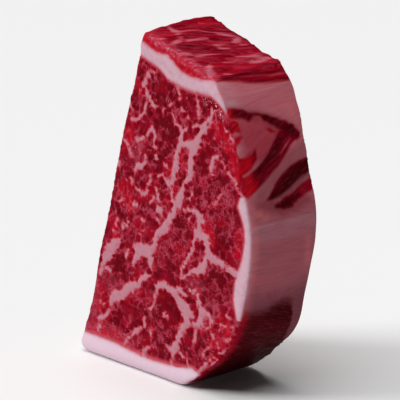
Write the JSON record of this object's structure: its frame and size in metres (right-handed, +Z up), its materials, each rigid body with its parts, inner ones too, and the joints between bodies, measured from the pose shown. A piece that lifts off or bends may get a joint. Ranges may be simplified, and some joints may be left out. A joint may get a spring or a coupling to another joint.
{
  "type": "raw ribeye steak",
  "caption": "Thick wedge of raw, finely marbled beef ribeye that stands on its rim of fat, with flat cut faces front and back.",
  "frame": {"origin": "middle of the box around the steak, on the surface that it stands on", "axes": "+Z up the length of the steak from its fat rim, +Y through its thickness from the front cut face to the back cut face, +X towards the bulging fat side"},
  "size_m": [0.1152, 0.0424, 0.1576],
  "materials": {
    "raw_beef": "moist raw beef, deep red lean with pale pink seams and a rim of fat, soft broken highlights"
  },
  "bodies": {
    "root": {"steak": "raw_beef"}
  },
  "joints": []
}
